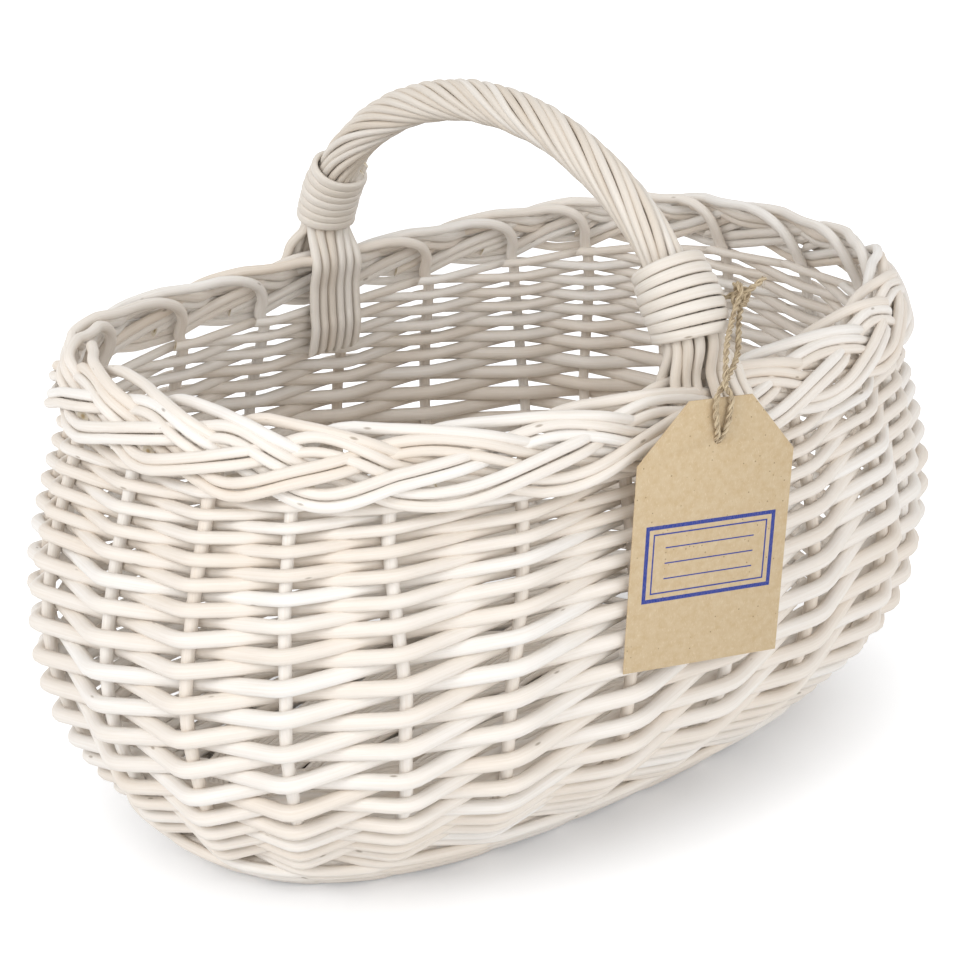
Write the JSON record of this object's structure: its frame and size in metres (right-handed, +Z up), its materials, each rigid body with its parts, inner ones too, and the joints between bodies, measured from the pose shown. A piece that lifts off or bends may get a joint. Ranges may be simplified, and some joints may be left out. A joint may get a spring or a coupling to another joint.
{
  "type": "foraging basket",
  "caption": "Oval woven willow basket with a plaited border, a roped bow handle bound at both feet and a card tag that swings on twine.",
  "frame": {"origin": "on the floor under the middle of the basket, without the tag and its twine", "axes": "+X along the basket's length, +Y across it away from the tag, +Z up"},
  "size_m": [0.4634, 0.3224, 0.3259],
  "materials": {
    "siding_willow": "peeled willow, off-white, satin",
    "stake_willow": "peeled willow, warm off-white, satin",
    "handle_willow": "peeled willow, light buff, satin",
    "kraft_card": "speckled kraft card, matt",
    "jute_twine": "two-ply jute twine, matt"
  },
  "bodies": {
    "basket": {"stake_01": "stake_willow", "stake_02": "stake_willow", "stake_03": "stake_willow", "stake_04": "stake_willow", "stake_05": "stake_willow", "stake_06": "stake_willow", "stake_07": "stake_willow", "stake_08": "stake_willow", "stake_09": "stake_willow", "stake_10": "stake_willow", "stake_11": "stake_willow", "stake_12": "stake_willow", "stake_13": "stake_willow", "stake_14": "stake_willow", "stake_15": "stake_willow", "stake_16": "stake_willow", "stake_17": "stake_willow", "stake_18": "stake_willow", "stake_19": "stake_willow", "stake_20": "stake_willow", "stake_21": "stake_willow", "stake_22": "stake_willow", "stake_23": "stake_willow", "stake_24": "stake_willow", "siding_rod_01": "siding_willow", "siding_rod_02": "siding_willow", "siding_rod_03": "siding_willow", "siding_rod_04": "siding_willow", "siding_rod_05": "siding_willow", "siding_rod_06": "siding_willow", "siding_rod_07": "siding_willow", "siding_rod_08": "siding_willow", "siding_rod_09": "siding_willow", "siding_rod_10": "siding_willow", "siding_rod_11": "siding_willow", "siding_rod_12": "siding_willow", "siding_rod_13": "siding_willow", "siding_rod_14": "siding_willow", "siding_rod_15": "siding_willow", "siding_rod_16": "siding_willow", "siding_rod_17": "siding_willow", "siding_rod_18": "siding_willow", "siding_rod_19": "siding_willow", "siding_rod_20": "siding_willow", "siding_rod_21": "siding_willow", "siding_rod_22": "siding_willow", "siding_rod_23": "siding_willow", "siding_rod_24": "siding_willow", "upsett_rod_1": "siding_willow", "upsett_rod_2": "siding_willow", "upsett_rod_3": "siding_willow", "base_sticks": "stake_willow", "base_mat": "siding_willow", "handle_rods": "handle_willow", "lashing_front": "handle_willow", "lashing_back": "handle_willow", "twine_tie": "jute_twine"},
    "tag": {"swing_tag": "kraft_card", "tag_twine": "jute_twine"}
  },
  "joints": [
    {"name": "tag_swing", "type": "hinge", "parent": "basket", "child": "tag", "pos_m": [-0.0182, -0.1631, 0.2301], "axis": [-0.9659, 0.2588, 0], "range_deg": [0, 70]}
  ]
}
